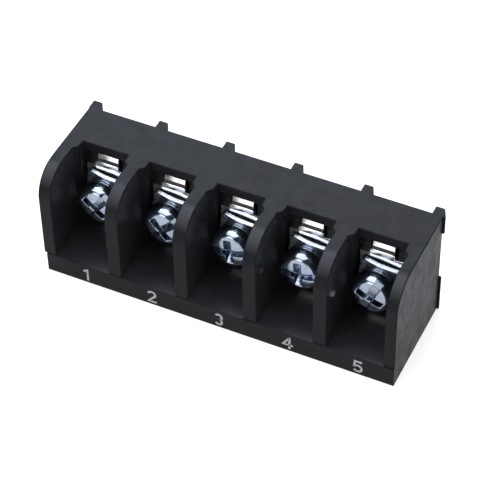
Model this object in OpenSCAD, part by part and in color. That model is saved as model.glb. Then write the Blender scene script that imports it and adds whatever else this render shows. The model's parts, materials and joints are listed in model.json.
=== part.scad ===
// Barrier terminal block for a circuit board, lying on its long back wall.
// X runs along the row of poles, Y from the screw heads to the board, Z up from the back wall.
// The origin is the middle of the back wall. All sizes are in millimetres.

/* [Row] */
// Distance from one pole to the next
pitch = 9.5; // [8.6:0.05:12]

/* [Housing] */
// Front face to board face, along the screws
body_depth = 14.4; // [14:0.1:20]
// Back wall to wire entry face
body_height = 16.5; // [15.8:0.1:22]
// Thickness of a barrier at the front
barrier_t = 1.8; // [1.2:0.05:2.4]
// Thickness of a barrier beside a terminal
pocket_barrier_t = 3.0; // [2.6:0.05:3.4]
// Radius of the barriers' front corner
corner_r = 4.0; // [1:0.1:6]
// Thickness of the back wall, seen from the front as a ledge
ledge_t = 3.0; // [2:0.1:4]
// Front face to the sill where the wires come in
sill_depth = 8.2; // [7.6:0.05:9]
// Length of the narrow part of a cavity, in front of the sill
pocket_neck = 1.15; // [0.6:0.05:2]
// Thickness of the wall under the sill
entry_wall_t = 1.4; // [1:0.05:2]
// How far the back wall stands out in front of the barriers
ledge_proud = 0.12; // [0.05:0.01:0.3]

/* [Ends] */
// End wall beyond the first barrier's centre line
first_wall_reach = 0.83; // [0.7:0.01:1.2]
// End wall and back wall beyond the last barrier's centre line
last_wall_reach = 0.58; // [0.4:0.01:0.7]
// Back wall beyond the first barrier's centre line
first_base_reach = 0.44; // [0.1:0.01:0.6]

/* [Feet] */
// Height of the feet above the board face
foot_rise = 1.3; // [0.5:0.05:2]
// Width of a foot at its root
foot_w = 1.8; // [1.2:0.05:2.4]
// Width that a foot loses on one side towards its tip
foot_taper = 0.6; // [0.1:0.05:0.8]
// Length of an upper foot at its root
upper_foot_l = 2.9; // [1.2:0.1:4.5]
// Length that an upper foot loses towards its tip
upper_foot_slope = 0.4; // [0:0.05:0.8]
// Length of a lower foot at its root
lower_foot_l = 5.9; // [3.2:0.1:6.4]
// Length that a lower foot loses at its upper end
lower_foot_slope = 1.7; // [0:0.05:2]
// Length that a lower foot loses at its lower end
lower_foot_toe = 0.1; // [0:0.05:1]
// Height of the lower feet above the back wall
lower_foot_z = 0.1; // [0.05:0.05:1]

/* [Terminal] */
// Thickness of the terminal's metal
terminal_t = 0.85; // [0.6:0.05:1]
// Sill to the terminal's upper face
terminal_rise = 0.2; // [0:0.05:0.3]
// Room beside the terminal in its pocket
terminal_side_gap = 0.35; // [0.1:0.05:0.4]
// Room around the tongue and the leg in the housing
terminal_slot_gap = 0.1; // [0.05:0.05:0.2]
// Width of the plate's neck in front of its shoulders
neck_w = 3.3; // [2:0.1:4]
// Length of the neck, up to the step
neck_l = 0.5; // [0.2:0.05:1]
// Depth that the neck falls back along its length
neck_lean = 0.1; // [0:0.01:0.2]
// Width of the tongue in front of the step
tongue_w = 3.0; // [2:0.1:4]
// Length of the tongue from the step to its end
tongue_l = 1.0; // [0.8:0.05:1.4]
// Depth of the step between neck and tongue
tongue_drop = 0.4; // [0.2:0.05:0.6]
// Length of the step
step_l = 0.36; // [0.2:0.01:0.5]
// Depth that the tongue falls back along its length
tongue_lean = 0.13; // [0:0.01:0.2]
// Room between the tongue's end and the entry wall
tongue_end_gap = 0.45; // [0.1:0.05:0.6]
// Inside radius of the leg's bend
bend_r = 0.25; // [0.1:0.05:0.5]
// Width of the leg
leg_w = 3.0; // [2:0.1:4]
// Room between the leg's slot and the ledge
leg_setback = 0.6; // [0.3:0.05:1]
// Width of the solder pin
pin_w = 1.2; // [0.8:0.05:1.6]
// Length of the solder pin beyond the feet
pin_l = 3.6; // [2:0.1:5]
// Length of the solder pin's tapered end
pin_tip = 0.6; // [0.2:0.1:1]
// Wall of the tapped collar
collar_wall = 0.7; // [0.4:0.05:1]
// Length of the tapped collar below the plate
collar_l = 1.5; // [0.8:0.1:2]

/* [Clamp plate] */
// Thickness of the clamp plate
clamp_t = 0.55; // [0.4:0.05:0.8]
// How far the clamp plate's middle is arched away from the terminal
clamp_arch = 0.35; // [0.1:0.05:0.5]
// Room between the clamp plate's corners and the pocket
clamp_side_gap = 0.1; // [0.1:0.05:0.4]
// Angle that tightening has turned the clamp plates by
clamp_turn = 7.5; // [0:0.5:12]
// Length that each of the clamp plate's corners is cut back by
clamp_corner = 0.5; // [0.2:0.05:1]

/* [Lock washer] */
// Outside diameter of the split lock washer
washer_d = 5.1; // [4.4:0.1:5.4]
// Thickness of the lock washer, pressed flat
washer_t = 0.7; // [0.5:0.05:1]
// Width of the lock washer's split
washer_split = 0.5; // [0.2:0.05:0.8]
// Slant of the split
washer_slant = 20; // [0:1:30]

/* [Screw] */
// Height of the screw's axis above the ledge
screw_rise = 6.4; // [6.2:0.05:6.6]
// Diameter of the shank over its thread
shank_d = 2.9; // [2.4:0.1:3.2]
// Length of the shank below the head
shank_l = 6.3; // [5.6:0.1:6.8]
// Diameter of the head
head_d = 5.5; // [4.8:0.1:6]
// Height of the head
head_h = 2.3; // [1.8:0.1:2.6]
// Radius of the head's upper edge
head_edge_r = 1.2; // [0.5:0.1:1.4]
// Radius of the head's domed top
head_dome_r = 12; // [8:0.5:20]
// Width of the slot across the head
slot_w = 1.1; // [0.6:0.05:1.3]
// Depth of the slot
slot_depth = 0.9; // [0.5:0.05:1.2]
// Length of the cross recess
cross_l = 3.8; // [2.6:0.1:4]
// Width of the cross recess's arms
cross_w = 1.0; // [0.6:0.05:1.2]
// Depth of the cross recess
cross_depth = 1.4; // [0.8:0.05:1.6]
// Reach that the cross recess's arms lose towards its bottom
cross_taper = 0.7; // [0.2:0.05:0.9]
// Radial room for the shank in the washer, the clamp plate and the terminal
shank_gap = 0.06; // [0.02:0.01:0.1]
// Room between the stacked faces of head, washer, clamp plate and terminal
stack_gap = 0.03; // [0.01:0.01:0.1]
// Room around the collar and the shank's end in the housing
well_gap = 0.25; // [0.1:0.05:0.4]

/* [Screw angles] */
// Angle of the first screw's slot
screw_turn_1 = 130; // [0:1:180]
// Angle of the second screw's slot
screw_turn_2 = 140; // [0:1:180]
// Angle of the third screw's slot
screw_turn_3 = 172; // [0:1:180]
// Angle of the fourth screw's slot
screw_turn_4 = 175; // [0:1:180]
// Angle of the fifth screw's slot
screw_turn_5 = 113; // [0:1:180]

/* [Hidden] */
$fn = 36;
// Facets of the arched clamp plate's and the domed head's wide circles
wide_fn = 96;
poles = 5;
// Margin by which a cut runs past the face it opens
cut = 1;
// Depth that a foot is rooted in the board face
foot_root = 0.2;

// Ends of the row
first_barrier = -poles / 2 * pitch;
last_barrier = poles / 2 * pitch;

// Front, sill and board planes across the depth
front_y = -body_depth / 2;
board_y = body_depth / 2;
sill_y = front_y + sill_depth;
feet_y = board_y + foot_rise;

// Cavity and pocket between two barriers
cavity_w = pitch - barrier_t;
pocket_w = pitch - pocket_barrier_t;
neck_y = sill_y - pocket_neck;
neck_chamfer = (cavity_w - pocket_w) / 2;
entry_inner_z = body_height - entry_wall_t;

// Stack of terminal, clamp plate, washer and head, from the housing up
terminal_y = sill_y - terminal_rise;
seat_y = terminal_y + terminal_t;
clamp_end_y = terminal_y - stack_gap;
clamp_y = clamp_end_y - clamp_arch - clamp_t;
washer_y = clamp_y - stack_gap - washer_t;
head_y = washer_y - stack_gap;
screw_z = ledge_t + screw_rise;

// Terminal outline
plate_w = pocket_w - 2 * terminal_side_gap;
bend_outer_r = bend_r + terminal_t;
tongue_z = entry_inner_z - tongue_end_gap;
step_z = tongue_z - tongue_l;
shoulder_z = step_z - neck_l;
neck_end_y = terminal_y + neck_lean;
tongue_y = neck_end_y + tongue_drop;
tongue_end_y = tongue_y + tongue_lean;
leg_z = ledge_t + leg_setback;
pin_end_y = feet_y + pin_l;
collar_r = shank_d / 2 + shank_gap + collar_wall;

// Clamp plate that just clears the pocket when it is turned
clamp_reach = pocket_w / 2 - clamp_side_gap + clamp_corner * sin(clamp_turn);
clamp_half = clamp_reach / (cos(clamp_turn) + sin(clamp_turn));
clamp_r = (clamp_half * clamp_half + clamp_arch * clamp_arch) / (2 * clamp_arch);

screw_turns = [screw_turn_1, screw_turn_2, screw_turn_3, screw_turn_4, screw_turn_5];

// Centre of a pole along the row
function pole_x(i) = (i - (poles + 1) / 2) * pitch;

// Centre line of a barrier, counted from 0
function barrier_x(i) = (i - poles / 2) * pitch;

// Extrudes a side view, drawn as depth and height, from x0 to x1
module along_row(x0, x1) {
    translate([x0, 0, 0])
        rotate([90, 0, 90])
            linear_extrude(x1 - x0)
                children();
}

// Extrudes a front view, drawn as row and height, from y0 to y1
module along_depth(y0, y1) {
    translate([0, y1, 0])
        rotate([90, 0, 0])
            linear_extrude(y1 - y0)
                children();
}

// Box between two corners
module box(low, high) {
    translate(low)
        cube(high - low);
}

// Turns a shape that stands on z = 0 to point from y0 towards the board
module towards_board(y0, z0) {
    translate([0, y0, z0])
        rotate([-90, 0, 0])
            children();
}

// Side view of the barriers, with the rounded front corner
module barrier_profile() {
    translate([front_y, 0])
        square([body_depth, body_height - corner_r]);
    translate([front_y + corner_r, 0])
        square([body_depth - corner_r, body_height]);
    translate([front_y + corner_r, body_height - corner_r])
        circle(corner_r, $fn = 96);
}

// Plan of the open cavity in front of the sill: wide between the barriers, narrow at the pocket
module cavity_plan() {
    polygon([
        [-cavity_w / 2, front_y - cut],
        [cavity_w / 2, front_y - cut],
        [cavity_w / 2, neck_y - neck_chamfer],
        [pocket_w / 2, neck_y],
        [pocket_w / 2, sill_y],
        [-pocket_w / 2, sill_y],
        [-pocket_w / 2, neck_y],
        [-cavity_w / 2, neck_y - neck_chamfer]
    ]);
}

// Pocket behind the sill for the terminal, its tongue, its leg, its collar and the screw's end
module terminal_pocket() {
    box([-pocket_w / 2, sill_y - cut, ledge_t], [pocket_w / 2, seat_y, entry_inner_z]);
    box([-neck_w / 2 - terminal_slot_gap, sill_y, shoulder_z - terminal_slot_gap],
        [neck_w / 2 + terminal_slot_gap, tongue_end_y + terminal_t + terminal_slot_gap, entry_inner_z]);
    box([-leg_w / 2 - terminal_slot_gap, sill_y, leg_z - terminal_slot_gap],
        [leg_w / 2 + terminal_slot_gap, board_y + cut, leg_z + bend_outer_r + terminal_slot_gap]);
    towards_board(sill_y, screw_z)
        cylinder(h = seat_y - sill_y + collar_l + well_gap, r = collar_r + well_gap);
    towards_board(sill_y, screw_z)
        cylinder(h = head_y + shank_l + well_gap - sill_y, r = shank_d / 2 + well_gap);
}

// Everything that one pole takes out of the moulding
module pole_cut() {
    translate([0, 0, ledge_t])
        linear_extrude(body_height)
            cavity_plan();
    terminal_pocket();
}

// Side view of a foot that reaches from z0 to z1 and loses a length at each end towards its tip
module foot_profile(z0, z1, low_end, high_end) {
    polygon([
        [board_y - foot_root, z0],
        [board_y, z0],
        [feet_y, z0 + low_end],
        [feet_y, z1 - high_end],
        [board_y, z1],
        [board_y - foot_root, z1]
    ]);
}

// Plan of a foot, narrower at its tip on the side of the last pole
module foot_plan() {
    polygon([
        [-foot_w / 2, board_y - foot_root],
        [foot_w / 2, board_y - foot_root],
        [foot_w / 2, board_y],
        [foot_w / 2 - foot_taper, feet_y],
        [-foot_w / 2, feet_y]
    ]);
}

// One foot from z0 to z1
module foot(z0, z1, low_end, high_end) {
    intersection() {
        along_row(-foot_w / 2, foot_w / 2)
            foot_profile(z0, z1, low_end, high_end);
        translate([0, 0, z0])
            linear_extrude(z1 - z0)
                foot_plan();
    }
}

// Upper and lower foot behind one barrier
module foot_pair() {
    foot(body_height - upper_foot_l, body_height, upper_foot_slope, 0);
    foot(lower_foot_z, lower_foot_z + lower_foot_l, lower_foot_toe, lower_foot_slope);
}

// Back wall, short of the first end wall and flush with the last one
module back_wall() {
    box([first_barrier - first_base_reach, front_y - ledge_proud, 0],
        [last_barrier + last_wall_reach, board_y, ledge_t]);
}

// Barriers, cavities and entry wall as one block above the back wall
module barrier_block() {
    difference() {
        along_row(first_barrier - first_wall_reach, last_barrier + last_wall_reach)
            barrier_profile();
        box([first_barrier - first_wall_reach - cut, front_y - cut, -cut],
            [last_barrier + last_wall_reach + cut, board_y + cut, ledge_t]);
    }
}

module housing() {
    color([0.09, 0.09, 0.1]) {
        difference() {
            union() {
                back_wall();
                barrier_block();
                for (i = [0 : poles])
                    translate([barrier_x(i), 0, 0])
                        foot_pair();
            }
            for (i = [1 : poles])
                translate([pole_x(i), 0, 0])
                    pole_cut();
        }
    }
}

// Side view of the bent strip: leg, plate and stepped tongue at one thickness
module strip_profile() {
    bend_y = terminal_y + bend_outer_r;
    bend_z = leg_z + bend_outer_r;
    polygon([
        [terminal_y, bend_z],
        [terminal_y, shoulder_z],
        [neck_end_y, step_z],
        [tongue_y, step_z + step_l],
        [tongue_end_y, tongue_z],
        [tongue_end_y + terminal_t, tongue_z],
        [tongue_y + terminal_t, step_z + step_l],
        [neck_end_y + terminal_t, step_z],
        [seat_y, shoulder_z],
        [seat_y, bend_z]
    ]);
    intersection() {
        translate([bend_y, bend_z])
            difference() {
                circle(bend_outer_r);
                circle(bend_r);
            }
        translate([terminal_y, leg_z])
            square(bend_outer_r);
    }
    translate([bend_y, leg_z])
        square([pin_end_y - bend_y, terminal_t]);
}

// Outline of the blank as it lies when bent: tongue, neck, plate, leg and pin, each at its own width
module strip_outline() {
    box([-tongue_w / 2, terminal_y - cut, step_z], [tongue_w / 2, board_y, tongue_z + cut]);
    box([-neck_w / 2, terminal_y - cut, shoulder_z - cut], [neck_w / 2, board_y, step_z]);
    box([-plate_w / 2, terminal_y - cut, leg_z + bend_outer_r], [plate_w / 2, seat_y, shoulder_z]);
    box([-leg_w / 2, terminal_y - cut, leg_z - cut], [leg_w / 2, board_y, shoulder_z]);
    linear_extrude(shoulder_z)
        polygon([
            [-pin_w / 2, board_y - cut],
            [pin_w / 2, board_y - cut],
            [pin_w / 2, pin_end_y - pin_tip],
            [pin_w / 4, pin_end_y],
            [-pin_w / 4, pin_end_y],
            [-pin_w / 2, pin_end_y - pin_tip]
        ]);
}

module terminal(i) {
    color([0.86, 0.86, 0.84])
        translate([pole_x(i), 0, 0])
            difference() {
                union() {
                    intersection() {
                        along_row(-plate_w / 2, plate_w / 2)
                            strip_profile();
                        strip_outline();
                    }
                    towards_board(terminal_y + terminal_t / 2, screw_z)
                        cylinder(h = terminal_t / 2 + collar_l, r = collar_r);
                }
                towards_board(terminal_y - cut, screw_z)
                    cylinder(h = terminal_t + collar_l + 2 * cut, r = shank_d / 2 + shank_gap);
            }
}

// Square with its corners cut back
module cornered_square(half, corner) {
    polygon([
        [-half, corner - half],
        [corner - half, -half],
        [half - corner, -half],
        [half, corner - half],
        [half, half - corner],
        [half - corner, half],
        [corner - half, half],
        [-half, half - corner]
    ]);
}

// Arched sheet that the clamp plate is cut from, its ends towards the terminal
module arched_sheet() {
    translate([0, 0, -clamp_half - cut])
        linear_extrude(2 * clamp_half + 2 * cut)
            intersection() {
                translate([0, clamp_y + clamp_t + clamp_r])
                    difference() {
                        circle(clamp_r + clamp_t, $fn = wide_fn);
                        circle(clamp_r, $fn = wide_fn);
                    }
                translate([-clamp_half - cut, clamp_y - cut])
                    square([2 * clamp_half + 2 * cut, clamp_arch + clamp_t + 2 * cut]);
            }
}

module clamp_plate(i) {
    color([0.72, 0.76, 0.82])
        translate([pole_x(i), 0, screw_z])
            rotate([0, clamp_turn, 0])
                difference() {
                    intersection() {
                        along_depth(clamp_y - cut, clamp_end_y + cut)
                            cornered_square(clamp_half, clamp_corner);
                        arched_sheet();
                    }
                    towards_board(clamp_y - cut, 0)
                        cylinder(h = clamp_arch + clamp_t + 2 * cut, r = shank_d / 2 + shank_gap);
                }
}

// Split ring under the head, its split slanted and turned with the screw
module lock_washer(i) {
    color([0.7, 0.74, 0.8])
        translate([pole_x(i), 0, 0])
            towards_board(washer_y, screw_z)
                rotate(screw_turns[i - 1])
                    difference() {
                        cylinder(h = washer_t, d = washer_d);
                        translate([0, 0, -cut])
                            cylinder(h = washer_t + 2 * cut, r = shank_d / 2 + shank_gap);
                        translate([0, 0, washer_t / 2])
                            rotate([washer_slant, 0, 0])
                                translate([0, -washer_split / 2, -washer_t - cut])
                                    cube([washer_d, washer_split, 2 * washer_t + 2 * cut]);
                    }
}

// Half section of the pan head before its top is domed, standing on its underside
module edge_section() {
    square([head_d / 2, head_h - head_edge_r]);
    square([head_d / 2 - head_edge_r, head_h]);
    translate([head_d / 2 - head_edge_r, head_h - head_edge_r])
        intersection() {
            circle(head_edge_r);
            square(head_edge_r);
        }
}

// Half section of the pan head
module head_section() {
    intersection() {
        edge_section();
        translate([0, head_h - head_dome_r])
            circle(head_dome_r, $fn = wide_fn);
    }
}

// Combined slot and cross recess, cut down from the top of the head
module recess() {
    translate([-head_d, -slot_w / 2, head_h - slot_depth])
        cube([2 * head_d, slot_w, head_h]);
    intersection() {
        for (turn = [0, 90])
            rotate(turn)
                translate([-head_d, -cross_w / 2, head_h - cross_depth])
                    cube([2 * head_d, cross_w, head_h]);
        translate([0, 0, head_h - cross_depth])
            cylinder(h = 2 * cross_depth, r1 = cross_l / 2 - cross_taper, r2 = cross_l / 2 + cross_taper);
    }
}

module screw(i) {
    color([0.74, 0.78, 0.85])
        translate([pole_x(i), 0, 0]) {
            towards_board(head_y, screw_z)
                rotate([180, 0, screw_turns[i - 1]])
                    difference() {
                        rotate_extrude()
                            head_section();
                        recess();
                    }
            towards_board(head_y, screw_z)
                cylinder(h = shank_l, r = shank_d / 2);
        }
}

housing();
terminal(1);  // terminal_1
terminal(2);  // terminal_2
terminal(3);  // terminal_3
terminal(4);  // terminal_4
terminal(5);  // terminal_5
clamp_plate(1);  // clamp_plate_1
clamp_plate(2);  // clamp_plate_2
clamp_plate(3);  // clamp_plate_3
clamp_plate(4);  // clamp_plate_4
clamp_plate(5);  // clamp_plate_5
lock_washer(1);  // lock_washer_1
lock_washer(2);  // lock_washer_2
lock_washer(3);  // lock_washer_3
lock_washer(4);  // lock_washer_4
lock_washer(5);  // lock_washer_5
screw(1);  // screw_1
screw(2);  // screw_2
screw(3);  // screw_3
screw(4);  // screw_4
screw(5);  // screw_5
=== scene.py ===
import json
import math

import bmesh
import bpy
from mathutils import Matrix, Vector


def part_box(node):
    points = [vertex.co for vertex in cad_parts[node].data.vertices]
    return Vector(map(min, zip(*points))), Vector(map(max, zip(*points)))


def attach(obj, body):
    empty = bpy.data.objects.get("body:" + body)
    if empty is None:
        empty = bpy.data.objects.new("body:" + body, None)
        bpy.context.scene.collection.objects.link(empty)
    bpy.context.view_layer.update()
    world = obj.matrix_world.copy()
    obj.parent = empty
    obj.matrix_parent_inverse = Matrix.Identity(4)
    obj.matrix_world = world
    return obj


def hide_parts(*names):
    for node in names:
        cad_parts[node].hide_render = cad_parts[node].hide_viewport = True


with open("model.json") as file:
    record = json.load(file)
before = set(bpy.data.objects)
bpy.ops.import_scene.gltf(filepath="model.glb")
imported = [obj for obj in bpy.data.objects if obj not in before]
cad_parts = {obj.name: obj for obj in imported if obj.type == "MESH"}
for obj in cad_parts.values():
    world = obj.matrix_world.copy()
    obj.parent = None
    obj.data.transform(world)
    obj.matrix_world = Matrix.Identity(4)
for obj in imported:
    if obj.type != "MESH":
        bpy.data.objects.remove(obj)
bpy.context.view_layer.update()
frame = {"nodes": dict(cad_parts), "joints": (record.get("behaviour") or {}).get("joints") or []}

MM = 0.001

# Camera of the photograph: where it looks, from which side, and its lens
LOOK_AT = Vector((0.0, 0.0, 8.25)) * MM
AZIMUTH = math.radians(26.35)
ELEVATION = math.radians(45.25)
ROLL = math.radians(-1.34)
DISTANCE = 263.45 * MM
SENSOR = 36.0
LENS = 156.6
SHIFT_X = 0.0018
SHIFT_Y = 0.0062
NEAREST = 0.01
FURTHEST = 20.0

# Lamps: name, place in metres, side in metres, power in watts, colour
LAMPS = (
    ("top_light", (-0.10, 0.04, 0.60), 0.58, 3.6, (0.90, 0.94, 1.0)),
    ("high_front_light", (-0.15, -0.45, 0.42), 0.30, 0.9, (0.92, 0.95, 1.0)),
    ("back_light", (-0.20, 0.40, 0.45), 0.42, 3.5, (0.80, 0.88, 1.0)),
    ("front_light", (-0.15, -0.60, 0.16), 0.40, 0.3, (0.98, 0.98, 1.0)),
    ("right_light", (0.55, -0.25, 0.30), 0.45, 0.75, (0.97, 0.98, 1.0)),
)

# Tones of the room from straight down to straight up, and the floor
ROOM_TONES = (
    (0.0, (0.95, 0.95, 0.95)),
    (0.36, (0.92, 0.92, 0.92)),
    (0.48, (0.06, 0.065, 0.07)),
    (1.0, (0.05, 0.055, 0.06)),
)
FLOOR_HALF = 3.0
FLOOR_TONES = (0.48, 0.50)
FLOOR_ROUGH = 0.8
FLOOR_GLOW = 0.70

# Widest round on the edges of each kind of piece
HOUSING_ROUND = 0.13 * MM
TERMINAL_ROUND = 0.08 * MM
CLAMP_ROUND = 0.12 * MM
WASHER_ROUND = 0.12 * MM
SCREW_ROUND = 0.12 * MM
ROUND_STEPS = 3

# Cleaning of the solids' meshes before their edges are rounded
WELD = 0.001 * MM
FLAT_ANGLE = math.radians(1)
SHARP_ANGLE = math.radians(32)
STRAIGHT_ANGLE = math.radians(28)
ROOM_SHARE = 0.42

# Share of a face's normal that lies along an axis: straight on, nearly so, turned that way, or just leaning
STRAIGHT_ON = 0.99
FACING = 0.9
TURNED = 0.5
LEANING = 0.05

# Thread of the screws. The height of its ridge is the flat's value in the middle, falls by the flank's value
# over a pitch, and is held between 0 at the root and 1 at the crest
THREAD_PITCH = 0.5 * MM
THREAD_CREST = 1.44 * MM
THREAD_ROOT = 1.16 * MM
THREAD_FLAT = 1.35
THREAD_FLANK = 3.2
THREAD_OVERLAP = 0.2 * MM
THREAD_COLUMNS = 40
THREAD_ROWS = 8

# Printed pole numbers on the front of the ledge
DIGIT_SIDE = 0.51 * MM
DIGIT_LEVEL = 1.47 * MM
DIGIT_STROKE = 0.31 * MM
DIGIT_INK = 0.02 * MM
DIGIT_BEND = math.radians(12)
DIGIT_MITRE = 1.7

# Small round nubs left on the barriers by the mould; the one by pole 5 is paler, a painted highlight
MARK_RADIUS = 0.40 * MM
MARK_TIP = 0.30 * MM
MARK_RISE = 0.55 * MM
MARK_SHOULDER = 0.44 * MM
MARK_ROOT = 0.05 * MM
MARK_FRONT = 1.30 * MM
MARK_LEVEL = 11.55 * MM
MARK_SIDES = 32
BARRIER_HALF = 0.9 * MM

# Where the housing's plastic changes: inside the cavities, and on the barriers' rounded corners, where a
# highlight is painted
CAVITY_HALF = 3.9 * MM
CAVITY_FRONT = 0.42 * MM
CAVITY_BACK = 1.6 * MM
CAVITY_TOP = 0.4 * MM
CAVITY_FLOOR = 2.6 * MM
CORNER_REACH = 4.5 * MM
HIGHLIGHT_DEPTH = 2.1 * MM

# Where the terminals' tin changes: on the plate beside the tongue and on the tongue's bend, which are
# darkened as painted shade, and on the leg
PLATE_EDGE = 0.05 * MM
PLATE_SHADE_REACH = 1.55 * MM
BEND_FRONT = 0.3
BEND_TOP = 0.4
LEG_START = 2.0 * MM

# Depth of the plastic's grain and of the metal's drawn marks
GRAIN_DEPTH = 0.02 * MM
DRAWN_DEPTH = 0.01 * MM

# The part of a noise's range over which most tones change
NOISE_LOW = 0.3
NOISE_HIGH = 0.7

BLACK = (0.0, 0.0, 0.0)
EVEN = (1.0, 1.0, 1.0)

poles = range(1, 1 + sum(name.startswith("screw_") for name in frame["nodes"]))
joint_places = {joint["name"]: joint.get("pos_m") for joint in frame["joints"]}
housing_low, housing_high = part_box("housing")
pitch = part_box("screw_2")[0].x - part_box("screw_1")[0].x


# Shader helpers
def add(tree, kind, inputs=None, **settings):
    """A node with its settings and its plain input values."""
    made = tree.nodes.new(kind)
    for name, value in settings.items():
        setattr(made, name, value)
    for name, value in (inputs or {}).items():
        made.inputs[name].default_value = value
    return made


def grey(value):
    """A colour with three equal parts."""
    return (value, value, value)


def ramp(tree, source, stops):
    """A colour ramp with the given (place, colour) stops, read by a value."""
    made = tree.nodes.new("ShaderNodeValToRGB")
    elements = made.color_ramp.elements
    while len(elements) < len(stops):
        elements.new(0.5)
    for element, (place, colour) in zip(elements, stops):
        element.position = place
        element.color = (*colour, 1.0)
    tree.links.new(source, made.inputs["Fac"])
    return made.outputs["Color"]


def noise(tree, scale, detail, stretch=EVEN, rough=0.5):
    """Noise in the piece's own millimetres, stretched along an axis where asked."""
    place = add(tree, "ShaderNodeTexCoord")
    squeeze = add(tree, "ShaderNodeMapping", {"Scale": tuple(share / MM for share in stretch)})
    made = add(tree, "ShaderNodeTexNoise", {"Scale": scale, "Detail": detail, "Roughness": rough})
    tree.links.new(place.outputs["Object"], squeeze.inputs["Vector"])
    tree.links.new(squeeze.outputs["Vector"], made.inputs["Vector"])
    return made.outputs["Fac"]


def material(name, metallic, specular):
    """A new material, its tree and its main shader."""
    made = bpy.data.materials.new(name)
    made.use_nodes = True
    tree = made.node_tree
    shader = tree.nodes["Principled BSDF"]
    shader.inputs["Metallic"].default_value = metallic
    shader.inputs["Specular IOR Level"].default_value = specular
    return made, tree, shader


def bumped(tree, shader, height, strength, depth):
    """Lets a height drive the shader's normal."""
    made = add(tree, "ShaderNodeBump", {"Strength": strength, "Distance": depth})
    tree.links.new(height, made.inputs["Height"])
    tree.links.new(made.outputs["Normal"], shader.inputs["Normal"])


def brighter(tree, tone, pale):
    """One colour added to another."""
    mixed = add(tree, "ShaderNodeMix", {"Factor": 1.0}, data_type="RGBA", blend_type="ADD")
    tree.links.new(tone, mixed.inputs["A"])
    tree.links.new(pale, mixed.inputs["B"])
    return mixed.outputs["Result"]


def scuffs(tree):
    """Pale cloudy scuffs, longer upright than across."""
    clouds = noise(tree, scale=0.55, detail=5.0, stretch=(1.0, 1.0, 0.45), rough=0.62)
    pale = (0.028, 0.027, 0.031)
    return ramp(tree, clouds, [(0.42, BLACK), (0.72, pale)])


def painted_corner_highlight(tree):
    """A painted highlight: a pale band near the top of the barriers' rounds, where their sheen is painted
    into the colour.
    """
    place = add(tree, "ShaderNodeTexCoord")
    split = add(tree, "ShaderNodeSeparateXYZ")
    reach = {"From Min": housing_high.z - HIGHLIGHT_DEPTH, "From Max": housing_high.z}
    level = add(tree, "ShaderNodeMapRange", reach)
    tree.links.new(place.outputs["Object"], split.inputs["Vector"])
    tree.links.new(split.outputs["Z"], level.inputs["Value"])
    # painted highlight: this pale tone stands in for the light on the rounds
    pale = (0.037, 0.037, 0.041)
    return ramp(tree, level.outputs["Result"], [(0.0, BLACK), (0.65, pale), (0.93, pale), (1.0, BLACK)])


def plastic(name, tones, shine, rough, grain, wear_and_highlight=None):
    """Black moulded plastic: cloudy tone, uneven sheen and fine grain, with a pale colour added where asked:
    scuffs on the ends, a painted highlight on the corners.
    """
    made, tree, shader = material(name, metallic=0.0, specular=shine)
    clouds = noise(tree, scale=0.35, detail=4.0)
    tone = ramp(tree, clouds, [(NOISE_LOW, tones[0]), (NOISE_HIGH, tones[1])])
    if wear_and_highlight:
        tone = brighter(tree, tone, wear_and_highlight(tree))
    tree.links.new(tone, shader.inputs["Base Color"])
    sheen = noise(tree, scale=0.8, detail=4.0, rough=0.6)
    polish = ramp(tree, sheen, [(0.35, grey(rough[0])), (NOISE_HIGH, grey(rough[1]))])
    tree.links.new(polish, shader.inputs["Roughness"])
    bumped(tree, shader, noise(tree, scale=9.0, detail=2.0), grain, GRAIN_DEPTH)
    return made


def metal(name, tints, rough, brush, marks):
    """Plated metal: drifting tint, uneven polish and fine drawn marks."""
    made, tree, shader = material(name, metallic=1.0, specular=0.5)
    drift = noise(tree, scale=0.7, detail=3.0)
    gap = (NOISE_HIGH - NOISE_LOW) / (len(tints) - 1)
    stops = [(NOISE_LOW + gap * step, tint) for step, tint in enumerate(tints)]
    tree.links.new(ramp(tree, drift, stops), shader.inputs["Base Color"])
    drawn = noise(tree, scale=3.0, detail=4.0, stretch=brush, rough=0.6)
    polish = ramp(tree, drawn, [(NOISE_LOW, grey(rough[0])), (0.75, grey(rough[1]))])
    tree.links.new(polish, shader.inputs["Roughness"])
    bumped(tree, shader, drawn, marks, DRAWN_DEPTH)
    return made


def ink(name, thin, full, rough):
    """Pale printing ink, slightly thin in places."""
    made, tree, shader = material(name, metallic=0.0, specular=0.4)
    worn = noise(tree, scale=5.0, detail=4.0)
    tone = ramp(tree, worn, [(NOISE_LOW, thin), (0.55, full)])
    tree.links.new(tone, shader.inputs["Base Color"])
    polish = ramp(tree, worn, [(NOISE_LOW, grey(rough[0])), (NOISE_HIGH, grey(rough[1]))])
    tree.links.new(polish, shader.inputs["Roughness"])
    return made


def background(tree, glow):
    """The glow where a ray shows the scene to the eye, straight or by way of metal and glass."""
    path = add(tree, "ShaderNodeLightPath")
    seen = path.outputs["Is Camera Ray"]
    for name in ("Is Glossy Ray", "Is Transmission Ray"):
        either = add(tree, "ShaderNodeMath", operation="MAXIMUM")
        tree.links.new(seen, either.inputs[0])
        tree.links.new(path.outputs[name], either.inputs[1])
        seen = either.outputs["Value"]
    scaled = add(tree, "ShaderNodeMath", operation="MULTIPLY")
    tree.links.new(seen, scaled.inputs[0])
    scaled.inputs[1].default_value = glow
    return scaled.outputs["Value"]


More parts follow.
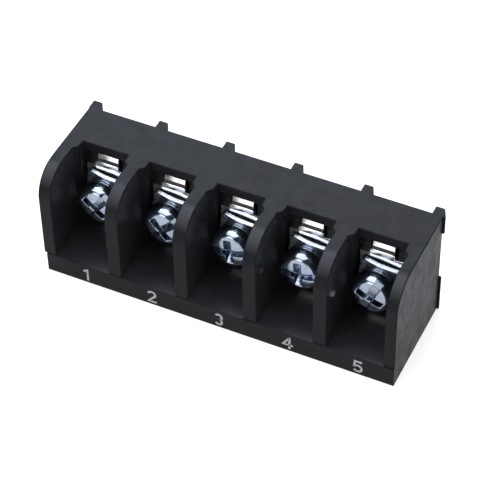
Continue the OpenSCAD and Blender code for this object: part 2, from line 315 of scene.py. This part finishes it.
# Plastics: the darker and the paler tone of each
SATIN = ((0.0090, 0.0090, 0.0106), (0.0127, 0.0127, 0.0150))
GLOSSY_WALL = ((0.0145, 0.0145, 0.0167), (0.020, 0.020, 0.0232))
GLOSSY_FLOOR = ((0.0125, 0.0125, 0.0145), (0.0165, 0.0165, 0.0195))
DARK_NUB = ((0.020, 0.020, 0.022), (0.025, 0.025, 0.028))
# painted highlight: a pale plastic for the nub by pole 5, lighter than the nub by pole 4
NUB_HIGHLIGHT_TONES = ((0.065, 0.065, 0.068), (0.095, 0.095, 0.099))
satin_plastic = plastic("satin_plastic", SATIN, shine=0.07, rough=(0.34, 0.46), grain=0.18)
end_plastic = plastic("end_plastic", SATIN, shine=0.08, rough=(0.40, 0.54), grain=0.22, wear_and_highlight=scuffs)
wall_plastic = plastic("wall_plastic", GLOSSY_WALL, shine=0.36, rough=(0.32, 0.44), grain=0.08)
floor_plastic = plastic("floor_plastic", GLOSSY_FLOOR, shine=0.60, rough=(0.28, 0.38), grain=0.02)
# the corners' plastic carries a painted highlight, a pale band near the top of the rounds
corner_highlight_plastic = plastic("corner_highlight_plastic", SATIN, shine=0.07, rough=(0.34, 0.46), grain=0.18, wear_and_highlight=painted_corner_highlight)
nub_plastic = plastic("nub_plastic", DARK_NUB, shine=0.07, rough=(0.34, 0.46), grain=0.18)
nub_highlight_plastic = plastic("nub_highlight_plastic", NUB_HIGHLIGHT_TONES, shine=0.4, rough=(0.35, 0.5), grain=0.1)

# Metals: the tints that each drifts through, and how its drawn marks are stretched
BLUE_ZINC = ((0.20, 0.24, 0.34), (0.31, 0.35, 0.41), (0.24, 0.275, 0.39))
PLATE_ZINC = ((0.63, 0.69, 0.78), (0.77, 0.82, 0.88))
BRIGHT_TIN = ((0.74, 0.74, 0.73), (0.87, 0.86, 0.85))
# painted shade: a dark tin for the plate's front beside the tongue, where the plate sits in shade
PLATE_SHADE_TINTS = ((0.15, 0.155, 0.16), (0.23, 0.235, 0.24))
MATT_TIN = ((0.38, 0.38, 0.375), (0.50, 0.50, 0.49))
# painted shade: a near-black tin for the tongue's bend
BEND_SHADE_TINTS = ((0.023, 0.023, 0.024), (0.036, 0.036, 0.037))
ROLLED = (0.3, 1.0, 2.0)
zinc = metal("blue_zinc", BLUE_ZINC, rough=(0.10, 0.22), brush=EVEN, marks=0.10)
plate_zinc = metal("plate_zinc", PLATE_ZINC, rough=(0.20, 0.38), brush=(0.25, 1.0, 2.0), marks=0.12)
tin = metal("bright_tin", BRIGHT_TIN, rough=(0.12, 0.19), brush=ROLLED, marks=0.02)
plate_shaded_tin = metal("plate_shaded_tin", PLATE_SHADE_TINTS, rough=(0.28, 0.42), brush=ROLLED, marks=0.05)
matt_tin = metal("matt_tin", MATT_TIN, rough=(0.34, 0.50), brush=(1.0, 0.3, 2.0), marks=0.06)
bend_shaded_tin = metal("bend_shaded_tin", BEND_SHADE_TINTS, rough=(0.30, 0.45), brush=ROLLED, marks=0.05)
white_ink = ink("white_ink", thin=(0.31, 0.31, 0.32), full=(0.47, 0.47, 0.48), rough=(0.7, 0.5))


# Pieces made from the solids
def welded(node):
    """A copy of a solid's mesh with its corners joined and its flat faces whole."""
    shape = bmesh.new()
    shape.from_mesh(frame["nodes"][node].data)
    bmesh.ops.remove_doubles(shape, verts=shape.verts, dist=WELD)
    bmesh.ops.dissolve_limit(shape, angle_limit=FLAT_ANGLE, verts=shape.verts, edges=shape.edges)
    return shape


def linked(name, data):
    """A new object in the scene."""
    piece = bpy.data.objects.new(name, data)
    bpy.context.scene.collection.objects.link(piece)
    return piece


def meshed(shape, name):
    """A mesh from a mesh in the making, which is used up."""
    mesh = bpy.data.meshes.new(name)
    shape.to_mesh(mesh)
    shape.free()
    return mesh


def room_beside(edge, widest):
    """The widest round that an edge takes without running over its neighbours."""
    room = widest
    for corner in edge.verts:
        along = edge.other_vert(corner).co - corner.co
        for other in corner.link_edges:
            if other is edge or not set(other.link_faces) & set(edge.link_faces):
                continue
            away = other.other_vert(corner).co - corner.co
            if along.angle(away) < math.pi - STRAIGHT_ANGLE:
                room = min(room, ROOM_SHARE * other.calc_length())
    return room


def finished(shape, name, widest, shades, box):
    """An object from a mesh in the making, with its sharp outer edges rounded, inside its solid's box."""
    weights = shape.edges.layers.float.new("bevel_weight_edge")
    for edge in shape.edges:
        if edge.is_convex and edge.calc_face_angle() > SHARP_ANGLE:
            edge[weights] = room_beside(edge, widest) / widest
    mesh = meshed(shape, name)
    # The rounds have the first shade again, in a place of its own by which shaded() knows them
    for shade in [*shades, shades[0]]:
        mesh.materials.append(shade)
    piece = linked(name, mesh)
    rounds = piece.modifiers.new("rounds", "BEVEL")
    rounds.limit_method = "WEIGHT"
    rounds.width = widest
    rounds.segments = ROUND_STEPS
    rounds.use_clamp_overlap = False
    rounds.material = len(shades)
    graph = bpy.context.evaluated_depsgraph_get()
    piece.data = bpy.data.meshes.new_from_object(piece.evaluated_get(graph))
    piece.modifiers.clear()
    bpy.data.meshes.remove(mesh)
    piece.data.name = name
    shaded(piece.data, len(shades), box)
    return piece


def shaded(mesh, rounds, box):
    """Smooth shading that stops at sharp edges and beside the rounds, so flat faces stay flat."""
    shape = bmesh.new()
    shape.from_mesh(mesh)
    low, high = box
    for corner in shape.verts:
        corner.co = [min(max(at, least), most) for at, least, most in zip(corner.co, low, high)]
    for face in shape.faces:
        face.smooth = True
    for edge in shape.edges:
        on_round = [face.material_index == rounds for face in edge.link_faces]
        if any(on_round):
            edge.smooth = all(on_round)
        else:
            edge.smooth = edge.calc_face_angle() < SHARP_ANGLE
    shape.to_mesh(mesh)
    shape.free()


def stands_for(piece, node, body):
    """Puts a piece in a solid's place, on the solid's body."""
    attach(piece, body)
    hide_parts(node)


def in_cavity(place):
    """Whether a place lies inside a cavity, off the front, the top and the board face."""
    beside = abs((place.x / pitch + 0.5 * len(poles)) % 1.0 - 0.5) * pitch
    deep = housing_low.y + CAVITY_FRONT < place.y < housing_high.y - CAVITY_BACK
    return beside < CAVITY_HALF and deep and CAVITY_FLOOR < place.z < housing_high.z - CAVITY_TOP


def on_corner(normal, place):
    """Whether a face belongs to the round between a barrier's front and its top."""
    leaning = -STRAIGHT_ON < normal.y < -LEANING and normal.z > LEANING
    near = place.y < housing_low.y + CORNER_REACH and place.z > housing_high.z - CORNER_REACH
    return leaning and near


def housing_shade(face):
    """The plastic of one face: glossier in the cavities, scuffed on the ends, with a painted highlight on
    the corners.
    """
    place = face.calc_center_median()
    if face.normal.y > -TURNED and in_cavity(place):
        return floor_plastic if face.normal.z > FACING else wall_plastic
    if abs(face.normal.x) > FACING:
        return end_plastic
    # the barriers' rounded corners take the plastic with the painted highlight
    if on_corner(face.normal, place):
        return corner_highlight_plastic
    return satin_plastic


def housing_piece():
    """The housing, set back at the front by the thickness of the print."""
    shape = welded("housing")
    shades = [satin_plastic, wall_plastic, end_plastic, floor_plastic, corner_highlight_plastic]
    for face in shape.faces:
        face.material_index = shades.index(housing_shade(face))
    for corner in shape.verts:
        corner.co.y = max(corner.co.y, housing_low.y + DIGIT_INK)
    piece = finished(shape, "housing_body", HOUSING_ROUND, shades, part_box("housing"))
    stands_for(piece, "housing", "block")


def add_thread(shape, centre, start, end):
    """A threaded shank along Y, closed at both ends, added to a mesh in the making."""
    count = round((end - start) / THREAD_PITCH * THREAD_ROWS)
    rings = []
    for row in range(count + 1):
        level = start + (end - start) * row / count
        ring = []
        for column in range(THREAD_COLUMNS):
            turn = 2 * math.pi * column / THREAD_COLUMNS
            phase = (level / THREAD_PITCH - column / THREAD_COLUMNS) % 1.0
            ridge = min(1.0, max(0.0, THREAD_FLAT - THREAD_FLANK * abs(phase - 0.5)))
            radius = THREAD_ROOT + min(end - level, (THREAD_CREST - THREAD_ROOT) * ridge)
            place = (centre.x + radius * math.sin(turn), level, centre.z + radius * math.cos(turn))
            ring.append(shape.verts.new(place))
        rings.append(ring)
    add_tube(shape, rings)


def add_tube(shape, rings):
    """Walls between rings of corners, and a face at each end."""
    for lower, upper in zip(rings, rings[1:]):
        for step in range(len(lower)):
            after = (step + 1) % len(lower)
            shape.faces.new((lower[step], lower[after], upper[after], upper[step]))
    shape.faces.new(reversed(rings[0]))
    shape.faces.new(rings[-1])


def screw_piece(pole):
    """A screw: the solid's head, with a thread in place of its plain shank."""
    node = f"screw_{pole}"
    low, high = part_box(node)
    centre = Vector(joint_places[f"screw_{pole}_turn"])
    shape = welded(node)
    whole = shape.verts[:] + shape.edges[:] + shape.faces[:]
    cut = bmesh.ops.bisect_plane(shape, geom=whole, plane_co=centre, plane_no=(0, 1, 0), clear_outer=True)
    rim = [item for item in cut["geom_cut"] if isinstance(item, bmesh.types.BMEdge)]
    bmesh.ops.edgeloop_fill(shape, edges=rim)
    add_thread(shape, centre, centre.y - THREAD_OVERLAP, high.y)
    bmesh.ops.recalc_face_normals(shape, faces=shape.faces)
    piece = finished(shape, f"screw_body_{pole}", SCREW_ROUND, [zinc], (low, high))
    stands_for(piece, node, node)


def terminal_piece(pole):
    """A terminal in four tins: bright, darkened as painted shade on the plate beside the tongue and on its
    bend, and matt on the leg.
    """
    node = f"terminal_{pole}"
    low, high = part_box(node)
    shape = welded(node)
    shoulders = max(corner.co.z for corner in shape.verts if corner.co.x < low.x + PLATE_EDGE)
    plate_shade_end = 0.5 * (low + high) - Vector((PLATE_SHADE_REACH, 0.0, 0.0))

    def on_plate(face):
        """Whether a face is the plate's front, below its shoulders."""
        top = max(corner.co.z for corner in face.verts)
        return face.normal.y < -STRAIGHT_ON and top < shoulders + PLATE_EDGE

    def terminal_shade(face):
        """The tin of one face."""
        place = face.calc_center_median()
        # the plate's front beside the tongue is darkened as painted shade
        if on_plate(face) and place.x < plate_shade_end.x:
            return plate_shaded_tin
        if place.y > low.y + LEG_START:
            return matt_tin
        # the tongue's bend is darkened as painted shade
        if face.normal.y < -BEND_FRONT and face.normal.z > BEND_TOP:
            return bend_shaded_tin
        return tin

    plate = [face for face in shape.faces if on_plate(face)]
    edges = dict.fromkeys(edge for face in plate for edge in face.edges)
    corners = dict.fromkeys(corner for face in plate for corner in face.verts)
    bmesh.ops.bisect_plane(shape, geom=[*plate, *edges, *corners], plane_co=plate_shade_end, plane_no=(1, 0, 0))
    shades = [tin, plate_shaded_tin, matt_tin, bend_shaded_tin]
    for face in shape.faces:
        face.material_index = shades.index(terminal_shade(face))
    piece = finished(shape, f"terminal_metal_{pole}", TERMINAL_ROUND, shades, (low, high))
    stands_for(piece, node, "block")


def pole_pieces(pole):
    """The metal of one pole."""
    terminal_piece(pole)
    rows = (
        ("clamp_plate", "clamp_metal", CLAMP_ROUND, plate_zinc),
        ("lock_washer", "washer_metal", WASHER_ROUND, zinc),
    )
    for solid, name, widest, shade in rows:
        node = f"{solid}_{pole}"
        piece = finished(welded(node), f"{name}_{pole}", widest, [shade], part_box(node))
        stands_for(piece, node, f"clamp_{pole}")
    screw_piece(pole)


# Print and nubs
def arc(across, level, radius, start, end):
    """Points along an arc from one angle in degrees to another."""
    sweep = math.radians(end - start)
    count = math.ceil(abs(sweep) / DIGIT_BEND)
    turns = [math.radians(start) + sweep * step / count for step in range(count + 1)]
    return [(across + radius * math.cos(turn), level + radius * math.sin(turn)) for turn in turns]


# Middle lines of the digits' strokes in millimetres, across and up from the digit's centre
DIGITS = {
    1: [[(-0.34, 0.46), (0.22, 0.88), (0.22, -1.02)]],
    2: [[*arc(0.0, 0.38, 0.49, 165, -28), (-0.50, -0.87), (0.66, -0.87)]],
    3: [arc(-0.02, 0.44, 0.43, 150, -95), arc(-0.02, -0.42, 0.45, 95, -150)],
    4: [[(0.26, 0.90), (-0.60, -0.36), (0.74, -0.36)], [(0.28, 1.02), (0.28, -1.02)]],
    5: [[(0.58, 0.87), (-0.36, 0.87), (-0.44, 0.04), *arc(0.02, -0.34, 0.53, 128, -150)]],
}


def stroke_sides(points):
    """The two sides of a stroke of even width along a line of points."""
    line = [Vector(point) * MM for point in points]
    sides = []
    for number, point in enumerate(line):
        before = line[max(number - 1, 0)]
        after = line[min(number + 1, len(line) - 1)]
        runs = [run.normalized() for run in (point - before, after - point) if run.length > 0.0]
        along = sum(runs, Vector((0.0, 0.0))).normalized()
        across = Vector((-along.y, along.x))
        mitre = 1.0 / max(1.0 / DIGIT_MITRE, along.dot(runs[0]))
        half = 0.5 * DIGIT_STROKE * mitre * across
        sides.append((point + half, point - half))
    return sides


def add_stroke(shape, points, centre):
    """A stroke as a thin closed bar of ink, added to a mesh in the making."""
    rings = []
    for left, right in stroke_sides(points):
        section = [(left, DIGIT_INK), (right, DIGIT_INK), (right, 0.0), (left, 0.0)]
        rings.append([shape.verts.new(centre + Vector((side.x, depth, side.y))) for side, depth in section])
    add_tube(shape, rings)


def added(shape, name, shade):
    """A piece of the block from a mesh in the making."""
    bmesh.ops.recalc_face_normals(shape, faces=shape.faces)
    mesh = meshed(shape, name)
    mesh.materials.append(shade)
    piece = linked(name, mesh)
    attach(piece, "block")


def digit_piece(pole):
    """A pole's number, printed on the front of the ledge."""
    shape = bmesh.new()
    across = joint_places[f"screw_{pole}_turn"][0] + DIGIT_SIDE
    for points in DIGITS[pole]:
        add_stroke(shape, points, Vector((across, housing_low.y, DIGIT_LEVEL)))
    added(shape, f"digit_{pole}", white_ink)


def mark_piece(pole, shade):
    """A short round nub on the barrier left of a pole."""
    shape = bmesh.new()
    barrier = joint_places[f"screw_{pole}_turn"][0] - 0.5 * pitch + BARRIER_HALF
    front = housing_low.y + MARK_FRONT
    turns = [2 * math.pi * step / MARK_SIDES for step in range(MARK_SIDES)]
    rings = []
    for radius, rise in ((MARK_RADIUS, -MARK_ROOT), (MARK_RADIUS, MARK_SHOULDER), (MARK_TIP, MARK_RISE)):
        rim = [(front + radius * math.cos(turn), MARK_LEVEL + radius * math.sin(turn)) for turn in turns]
        rings.append([shape.verts.new((barrier + rise, depth, level)) for depth, level in rim])
    add_tube(shape, rings)
    added(shape, f"mould_mark_{pole}", shade)


# Stage
def floor_piece():
    """A wide pale floor that keeps the part's shadow."""
    shape = bmesh.new()
    sides = ((-1, -1), (1, -1), (1, 1), (-1, 1))
    shape.faces.new([shape.verts.new((FLOOR_HALF * x, FLOOR_HALF * y, 0.0)) for x, y in sides])
    mesh = meshed(shape, "floor")
    made, tree, shader = material("pale_floor", metallic=0.0, specular=0.2)
    patches = noise(tree, scale=0.01, detail=2.0)
    tone = ramp(tree, patches, [(NOISE_LOW, grey(FLOOR_TONES[0])), (NOISE_HIGH, grey(FLOOR_TONES[1]))])
    tree.links.new(tone, shader.inputs["Base Color"])
    shader.inputs["Roughness"].default_value = FLOOR_ROUGH
    shader.inputs["Emission Color"].default_value = (1.0, 1.0, 1.0, 1.0)
    tree.links.new(background(tree, FLOOR_GLOW), shader.inputs["Emission Strength"])
    mesh.materials.append(made)
    piece = linked("floor", mesh)


def softbox(name, place, side, power, colour):
    """A square area light that faces the part."""
    lamp = bpy.data.lights.new(name, "AREA")
    lamp.size = side
    lamp.energy = power
    lamp.color = colour
    piece = linked(name, lamp)
    piece.location = Vector(place)
    piece.rotation_euler = (LOOK_AT - piece.location).to_track_quat("-Z", "Y").to_euler()


def world_light():
    """A dim room with a pale horizon."""
    world = bpy.data.worlds.new("studio")
    bpy.context.scene.world = world
    world.use_nodes = True
    tree = world.node_tree
    place = add(tree, "ShaderNodeTexCoord")
    height = add(tree, "ShaderNodeSeparateXYZ")
    tree.links.new(place.outputs["Generated"], height.inputs["Vector"])
    tones = ramp(tree, height.outputs["Z"], ROOM_TONES)
    tree.links.new(tones, tree.nodes["Background"].inputs["Color"])


def camera_piece():
    """The photograph's camera."""
    back = Vector((
        math.sin(AZIMUTH) * math.cos(ELEVATION),
        -math.cos(AZIMUTH) * math.cos(ELEVATION),
        math.sin(ELEVATION),
    ))
    level = Vector((math.cos(AZIMUTH), math.sin(AZIMUTH), 0.0))
    upright = back.cross(level)
    right = math.cos(ROLL) * level + math.sin(ROLL) * upright
    up = back.cross(right)
    lens = bpy.data.cameras.new("camera")
    lens.sensor_width = SENSOR
    lens.lens = LENS
    lens.shift_x = SHIFT_X
    lens.shift_y = SHIFT_Y
    lens.clip_start = NEAREST
    lens.clip_end = FURTHEST
    piece = linked("camera", lens)
    turn = Matrix((right, up, back)).transposed().to_4x4()
    piece.matrix_world = Matrix.Translation(LOOK_AT + DISTANCE * back) @ turn
    bpy.context.scene.camera = piece


camera_piece()
housing_piece()
for pole in poles:
    pole_pieces(pole)
    digit_piece(pole)
# the nub by pole 5 takes the pale plastic with a painted highlight; the one by pole 4 takes a darker plastic
for pole, shade in zip(poles[-2:], (nub_plastic, nub_highlight_plastic)):
    mark_piece(pole, shade)

world_light()
floor_piece()
for lamp_row in LAMPS:
    softbox(*lamp_row)
bpy.context.scene.view_settings.view_transform = "Standard"
